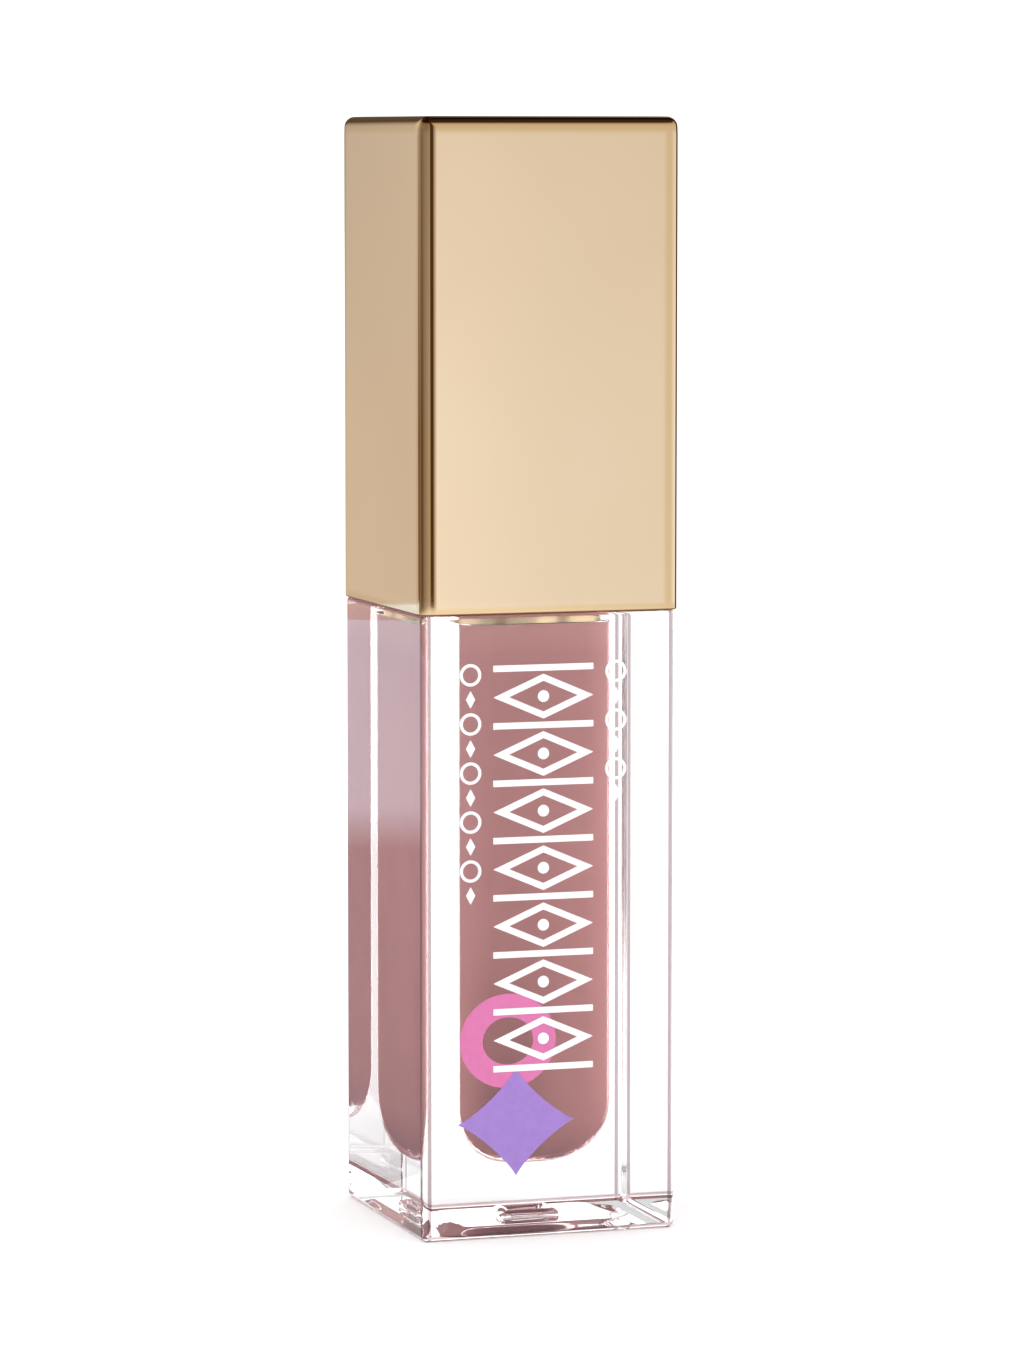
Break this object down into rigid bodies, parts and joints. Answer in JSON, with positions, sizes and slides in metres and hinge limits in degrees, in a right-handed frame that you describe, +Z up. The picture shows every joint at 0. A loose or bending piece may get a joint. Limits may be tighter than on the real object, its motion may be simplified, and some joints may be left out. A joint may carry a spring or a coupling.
{
  "type": "lip gloss tube",
  "caption": "Clear thick-walled square lip gloss bottle with a square gold screw cap that carries a doe-foot applicator.",
  "frame": {"origin": "centre of the base, on the surface that the tube stands on", "axes": "+Z up along the tube, towards the cap; the decorated face looks along -Y"},
  "size_m": [0.0194, 0.0194, 0.08],
  "materials": {
    "clear_plastic": "polished clear",
    "rose_gloss": "opaque creamy rose liquid",
    "gold_plastic": "satin gold",
    "gold_metallised": "vacuum-metallised mirror gold",
    "soft_plastic": "natural translucent",
    "core_plastic": "natural",
    "flock_fibre": "short velvet flock stained by the gloss"
  },
  "bodies": {
    "bottle": {"bottle": "clear_plastic", "neck_insert": "gold_plastic", "wiper": "soft_plastic", "gloss_fill": "rose_gloss"},
    "stem": {"stem": "soft_plastic"},
    "cap": {"outer_cap": "gold_metallised", "inner_cap": "gold_plastic", "applicator_core": "core_plastic", "applicator_flock": "flock_fibre"}
  },
  "joints": [
    {"name": "cap_lift", "type": "slide", "parent": "bottle", "child": "stem", "axis": [0, 0, 1], "range_m": [0, 0.056]},
    {"name": "cap_turn", "type": "hinge", "parent": "stem", "child": "cap", "pos_m": [0, 0, 0.05], "axis": [0, 0, 1], "range_deg": [0, 540]}
  ]
}
